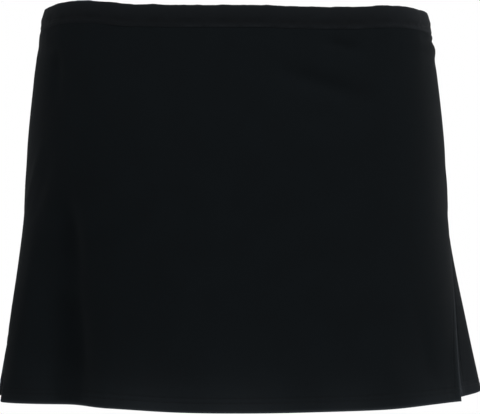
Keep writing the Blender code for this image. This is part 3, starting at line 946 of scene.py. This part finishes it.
def shorts_cloth(mirrored):
    """The cloth of one half of the shorts, from the waist down. The right half is the left one mirrored."""
    total = shorts_height()[0]
    ups = 1.0 - spaced(total, EDGE_STEPS, LEG_STEPS, sizes().face_step) / total
    form = shorts_form(ups, shorts_columns())
    up_length = np.broadcast_to(form.up_length, form.aside.shape)
    layers = np.where((up_length < sizes().leg_turn) | (form.aside < LEG_ALLOWANCE), 2.0, 1.0)
    flat = np.stack([form.round_length, up_length], axis=-1)
    # The leg's folded hem is greyer: rubbed wear with a painted highlight.
    cloth = Cloth(form.points, flat, layers, np.exp(-up_length / EDGE_WEAR_AND_HIGHLIGHT_REACH))
    if mirrored:
        cloth = Cloth(*(part[:, ::-1] for part in cloth))
        cloth = cloth._replace(points=cloth.points * MIRROR)
    return cloth


# Sewing.

THREAD_RISE = 0.00010
THREAD_HEIGHT = 0.7
ROW_POINTS = 260
ROW_REACH = 0.0005
VENT_ROW_POINTS = 90
NEEDLE_STRETCH = 0.86
BAND_STRETCH = 0.92
LOOPER_INSET = 0.0026
LOOPER_SLANT = 0.95
LOOPER_STRETCH = 1.75
OVERLOCK_STRETCH = 1.40
OVERLOCK_COLUMNS = (4, -5)
OVERLOCK_TOP = 0.985
OVERLOCK_GAP = 0.002
OVERLOCK_POINTS = 130
TACK_LENGTH = 0.0060
TACK_PAST = 0.0006
TACK_SPACING = 0.00055
TACK_BREADTH = 0.0024
TACK_SINK = 0.0002
TACK_SLANT = 1.42
TACK_POINTS = 12

# A row of stitches: its path on the cloth, the outward direction along it, the slant of its stitches and how many
# times the usual length they are.
Row = namedtuple("Row", "points outward slant stretch")
STITCH_WAYS = (("outward", "FLOAT_VECTOR"), ("slant", "FLOAT"), ("stretch", "FLOAT"))


def stitch_tree(thread):
    """Geometry nodes that lay one small rounded stitch after another along each path."""
    tree = bpy.data.node_groups.new("Rows of stitches", "GeometryNodeTree")
    add = functools.partial(add_node, tree)
    face = tree.interface
    face.new_socket("Geometry", in_out="INPUT", socket_type="NodeSocketGeometry")
    for name, value in (("Stitch length", 0.0027), ("Thread width", 0.0004), ("Unevenness", 0.06)):
        face.new_socket(name, in_out="INPUT", socket_type="NodeSocketFloat").default_value = value
    face.new_socket("Seed", in_out="INPUT", socket_type="NodeSocketInt").default_value = 7
    face.new_socket("Geometry", in_out="OUTPUT", socket_type="NodeSocketGeometry")
    given = add("NodeGroupInput", out=None)
    outward, slant, stretch = (
        add("GeometryNodeInputNamedAttribute", {"Name": name}, data_type=kind) for name, kind in STITCH_WAYS
    )

    # The paths, cut into stitches of one length.
    curve = add("GeometryNodeMeshToCurve", {"Mesh": given["Geometry"]})
    cuts = {"Curve": curve, "Length": given["Stitch length"]}
    even = add("GeometryNodeResampleCurve", cuts, mode="LENGTH")

    # Each stitch lies along its path, flat on the cloth, and leans to one side and the other in turn.
    along = add("GeometryNodeInputTangent")
    lengthwise = add("FunctionNodeAlignRotationToVector", {"Vector": along}, axis="X")
    facing = {"Rotation": lengthwise, "Vector": outward}
    lying = add("FunctionNodeAlignRotationToVector", facing, axis="Z", pivot_axis="X")
    index = add("GeometryNodeInputIndex")
    odd = add("ShaderNodeMath", {0: index, 1: 2.0}, operation="MODULO")
    swing = add("ShaderNodeMath", {0: odd, 1: 2.0, 2: -1.0}, operation="MULTIPLY_ADD")
    lowest = add("ShaderNodeMath", {0: given["Unevenness"], 1: -1.0}, operation="MULTIPLY")
    limits = {2: lowest, 3: given["Unevenness"], "Seed": given["Seed"]}
    uneven_turn = add("FunctionNodeRandomValue", limits, out=1, data_type="FLOAT")
    lean = add("ShaderNodeMath", {0: swing, 1: slant, 2: uneven_turn}, operation="MULTIPLY_ADD")
    turned = {"Rotation": lying, "Rotate By": add("ShaderNodeCombineXYZ", {"Z": lean})}
    leaning = add("FunctionNodeRotateRotation", turned, rotation_space="LOCAL")

    # A stitch is a flattened bead of thread, longer than it is wide.
    length = add("ShaderNodeMath", {0: given["Stitch length"], 1: stretch}, operation="MULTIPLY")
    height = add("ShaderNodeMath", {0: given["Thread width"], 1: THREAD_HEIGHT}, operation="MULTIPLY")
    size = add("ShaderNodeCombineXYZ", {"X": length, "Y": given["Thread width"], "Z": height})
    bead = add("GeometryNodeMeshUVSphere", {"Segments": 6, "Rings": 4, "Radius": 0.5})
    smooth = add("GeometryNodeSetShadeSmooth", {"Geometry": bead})
    on_side = {"Geometry": smooth, "Rotation": (0.0, math.pi / 2, 0.0)}
    laid = add("GeometryNodeTransform", on_side)
    places = {"Points": even, "Instance": laid, "Rotation": leaning, "Scale": size}
    stitched = add("GeometryNodeInstanceOnPoints", places)
    real = add("GeometryNodeRealizeInstances", {"Geometry": stitched})
    dyed = add("GeometryNodeSetMaterial", {"Geometry": real, "Material": thread})
    add("NodeGroupOutput", {"Geometry": dyed}, out=None)
    return tree


def stitches(name, rows, seed, length=None):
    """One mesh with every stitch of these rows."""
    edges, first = [], 0
    for row in rows:
        edges += [(at, at + 1) for at in range(first, first + len(row.points) - 1)]
        first += len(row.points)
    path = bpy.data.meshes.new(name + "_path")
    path.from_pydata(np.concatenate([row.points for row in rows]).tolist(), edges, [])
    for told, kind in STITCH_WAYS:
        each = np.concatenate([getattr(row, told) * np.ones((len(row.points), 1)) for row in rows])
        field = "vector" if kind == "FLOAT_VECTOR" else "value"
        path.attributes.new(told, kind, "POINT").data.foreach_set(field, each.astype(np.float32).ravel())
    guide = put(name + "_path", path)
    modifier = guide.modifiers.new("stitches", "NODES")
    modifier.node_group = stitch_tree(finishes()["thread"])
    chosen = {"Stitch length": length or sizes().stitch, "Thread width": sizes().thread, "Seed": seed}
    for socket in modifier.node_group.interface.items_tree:
        if socket.item_type == "SOCKET" and socket.in_out == "INPUT" and socket.name in chosen:
            modifier[socket.identifier] = chosen[socket.name]
    bpy.context.view_layer.update()
    mesh = bpy.data.meshes.new_from_object(guide.evaluated_get(bpy.context.evaluated_depsgraph_get()))
    mesh.name = name
    bpy.data.objects.remove(guide, do_unlink=True)
    piece = put(name, mesh)
    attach(piece, BODY)


def face_row(points, outward, stretch=NEEDLE_STRETCH):
    """A needle's straight stitches on the cloth's face."""
    return Row(points + outward * THREAD_RISE, outward, 0.0, stretch)


def inner_row(points, outward, stretch=LOOPER_STRETCH):
    """A looper's slanting stitches inside the turned cloth."""
    return Row(points - outward * (2.0 * sizes().cloth + THREAD_RISE), -outward, LOOPER_SLANT, stretch)


def hem_lines(needles, turn):
    """How far up a hem its twin needle rows and the looper thread over its raw edge lie, and how each is sewn."""
    return (needles[0], face_row), (needles[1], face_row), (turn - LOOPER_INSET, inner_row)


def hem_rows(panel):
    """The rows of stitches along the skirt's hem."""
    lines = hem_lines(HEM_NEEDLES, sizes().hem_turn)
    return [sewn(*skirt_row(panel, FRONT_LENGTH - up, ROW_POINTS)[:2]) for up, sewn in lines]


def band_rows(panel):
    """The needle row that closes the waistband's strip just above its lower edge."""
    profile_row = (-BAND_PROUD, BAND_HEIGHT - BAND_NEEDLE, 1.0, BAND_NEEDLE)
    return [face_row(*band_row(panel, profile_row, ROW_POINTS)[:2], BAND_STRETCH)]


def vent_rows(panel):
    """The single needle row down each vent's turned edge."""
    drops = np.linspace(VENT_DROP, FRONT_LENGTH - HEM_NEEDLES[0], VENT_ROW_POINTS)
    rows = []
    for across in (VENT_NEEDLE, -VENT_NEEDLE):
        made = [skirt_row(panel, drop, across=across) for drop in drops]
        rows.append(face_row(*(np.array([row[part][0] for row in made]) for part in (0, 1))))
    return rows


def shorts_rows(mirrored):
    """The rows of stitches round a leg's hem, and the overlocking inside the seams."""
    total, across = shorts_height()[0], shorts_columns()
    rows = []
    for up, sewn in hem_lines(LEG_NEEDLES, sizes().leg_turn):
        form = shorts_form(np.array([up + ROW_REACH, up, up - ROW_REACH]) / total, across)
        rows.append(sewn(form.points[1], form.outward[1]))
    form = shorts_form(np.linspace(OVERLOCK_TOP, (sizes().leg_turn + OVERLOCK_GAP) / total, OVERLOCK_POINTS), across)
    for column in OVERLOCK_COLUMNS:
        rows.append(inner_row(form.points[:, column], form.outward[:, column], OVERLOCK_STRETCH))
    if mirrored:
        rows = [row._replace(points=row.points * MIRROR, outward=row.outward * MIRROR) for row in rows]
    return rows


def tack_rows(angle):
    """The bar of close stitches that holds the top of a vent together."""
    levels = [level(drop) for drop in np.linspace(VENT_DROP - TACK_LENGTH, VENT_DROP + TACK_PAST, TACK_POINTS)]
    points, outward = np.concatenate([here.at(np.array([here.arc_at(angle)])) for here in levels], axis=1)
    return [Row(points - outward * TACK_SINK, outward, TACK_SLANT, TACK_BREADTH / TACK_SPACING)]


# Operators.


class SKORT_OT_sewing(bpy.types.Operator):
    """Lay the rows of stitches that the pieces of cloth are sewn with"""

    bl_idname = "skort.sewing"
    bl_label = "Sewing"

    def execute(self, context):
        for seed, panel in enumerate((FRONT, BACK)):
            stitches(f"skirt_{panel.name}_stitches", hem_rows(panel) + vent_rows(panel), seed + 1)
            stitches(f"waistband_{panel.name}_stitches", band_rows(panel), seed + 3)
        for seed, (side, mirrored) in enumerate(SIDES):
            stitches(f"shorts_{side}_stitches", shorts_rows(mirrored), seed + 5)
            angle = -90.0 if mirrored else 90.0
            stitches(f"vent_{side}_tack", tack_rows(angle), seed + 7, length=TACK_SPACING)
        return {"FINISHED"}


class SKORT_OT_skirt(bpy.types.Operator):
    """Cut and turn the skirt's front and back panels"""

    bl_idname = "skort.skirt"
    bl_label = "Skirt panels"

    def execute(self, context):
        for panel, tacks in ((FRONT, ["vent_left_tack", "vent_right_tack"]), (BACK, [])):
            dress(f"skirt_{panel.name}", skirt_cloth(panel), "skirt")
        return {"FINISHED"}


class SKORT_OT_waistband(bpy.types.Operator):
    """Fold the waistband's strips over their elastic"""

    bl_idname = "skort.waistband"
    bl_label = "Waistband"

    def execute(self, context):
        for panel in (FRONT, BACK):
            dress(f"waistband_{panel.name}", band_cloth(panel), "waistband")
        return {"FINISHED"}


class SKORT_OT_shorts(bpy.types.Operator):
    """Cut the two halves of the shorts and turn up their legs"""

    bl_idname = "skort.shorts"
    bl_label = "Shorts"

    def execute(self, context):
        for side, mirrored in SIDES:
            dress(f"shorts_{side}", shorts_cloth(mirrored), "shorts")
        return {"FINISHED"}


CAMERA_PLACE = (0.0034, -1.612, -0.1542)
CAMERA_LENS = 140.6
LIT_POINT = Vector((0.0, 0.0, -0.15))
FLOOR_Z = -3.4
FLOOR_RADIUS = 9.0
FLOOR_SIDES = 96
ROOM_BRIGHTNESS = 0.32

# A large studio light that faces the garment.
Softbox = namedtuple("Softbox", "name place width height watts")
SOFTBOXES = (
    Softbox("right front softbox", (1.9, -1.9, 0.6), 1.5, 2.0, 45.0),
    Softbox("high right front softbox", (1.7, -1.6, 2.1), 1.5, 1.5, 59.0),
    Softbox("left front softbox", (-1.9, -1.9, 0.6), 1.5, 2.0, 39.5),
    Softbox("left softbox", (-2.6, -0.5, 0.4), 1.5, 2.0, 9.0),
    Softbox("right back softbox", (2.2, 1.6, 0.4), 1.5, 2.0, 15.0),
)


class SKORT_OT_stage(bpy.types.Operator):
    """Set up the floor, the lights and the camera"""

    bl_idname = "skort.stage"
    bl_label = "Studio"

    def execute(self, context):
        scene = context.scene
        paper, tree, shader, _ = new_material("Matt white studio paper")
        feed(tree, shader, {"Base Color": (*to_linear("#F2F2F0"), 1.0), "Roughness": 0.9})
        turns = [2.0 * math.pi * at / FLOOR_SIDES for at in range(FLOOR_SIDES)]
        rim = [(FLOOR_RADIUS * math.cos(turn), FLOOR_RADIUS * math.sin(turn), FLOOR_Z) for turn in turns]
        sheet = bpy.data.meshes.new("studio_floor")
        sheet.from_pydata(rim, [], [tuple(range(FLOOR_SIDES))])
        sheet.materials.append(paper)
        put("studio_floor", sheet)
        for box in SOFTBOXES:
            lamp = bpy.data.lights.new(box.name, "AREA")
            lamp.shape = "RECTANGLE"
            lamp.size, lamp.size_y, lamp.energy = box.width, box.height, box.watts
            holder = put(box.name, lamp)
            holder.location = box.place
            holder.rotation_euler = (LIT_POINT - Vector(box.place)).to_track_quat("-Z", "Y").to_euler()
        camera = bpy.data.cameras.new("camera")
        camera.lens = CAMERA_LENS
        camera.sensor_width = 36.0
        camera.clip_end = 40.0
        scene.camera = put("camera", camera)
        scene.camera.location = CAMERA_PLACE
        scene.camera.rotation_euler = (math.pi / 2, 0.0, 0.0)
        self.light_the_room(scene)
        return {"FINISHED"}

    def light_the_room(self, scene):
        """A white room, brightest behind the garment."""
        scene.world = bpy.data.worlds.new("white studio")
        scene.world.use_nodes = True
        tree = scene.world.node_tree
        around = add_node(tree, "ShaderNodeTexCoord", out="Generated")
        way = add_node(tree, "ShaderNodeSeparateXYZ", {"Vector": around}, out=None)
        reach = {"Value": way["Y"], "From Min": 0.1, "From Max": 1.0, "To Min": ROOM_BRIGHTNESS, "To Max": 1.0}
        light = add_node(tree, "ShaderNodeMapRange", reach, interpolation_type="SMOOTHSTEP")
        feed(tree, tree.nodes["Background"], {"Color": (1.0, 1.0, 1.0, 1.0), "Strength": light})
        scene.view_settings.view_transform = "Standard"


class SKORT_PT_maker(bpy.types.Panel):
    """Lists the skort's pieces in the sidebar"""

    bl_idname = "SKORT_PT_maker"
    bl_label = "Tennis skort"
    bl_space_type = "VIEW_3D"
    bl_region_type = "UI"
    bl_category = "Skort"

    def draw(self, context):
        for maker in MAKERS:
            self.layout.operator(maker.bl_idname)
        for group in (context.scene.skort_sizes, context.scene.skort_colours):
            for name in group.bl_rna.properties.keys():
                if name not in ("name", "rna_type"):
                    self.layout.prop(group, name)


MAKERS = (SKORT_OT_sewing, SKORT_OT_skirt, SKORT_OT_waistband, SKORT_OT_shorts, SKORT_OT_stage)
CLASSES = (SkortSizes, SkortColours, *MAKERS, SKORT_PT_maker)


def register():
    for made in CLASSES:
        bpy.utils.register_class(made)
    bpy.types.Scene.skort_sizes = PointerProperty(type=SkortSizes)
    bpy.types.Scene.skort_colours = PointerProperty(type=SkortColours)


def unregister():
    del bpy.types.Scene.skort_sizes
    del bpy.types.Scene.skort_colours
    for made in reversed(CLASSES):
        bpy.utils.unregister_class(made)


def main():
    register()
    bpy.ops.skort.sewing()
    bpy.ops.skort.skirt()
    bpy.ops.skort.waistband()
    bpy.ops.skort.shorts()
    bpy.ops.skort.stage()


if __name__ == "__main__":
    main()
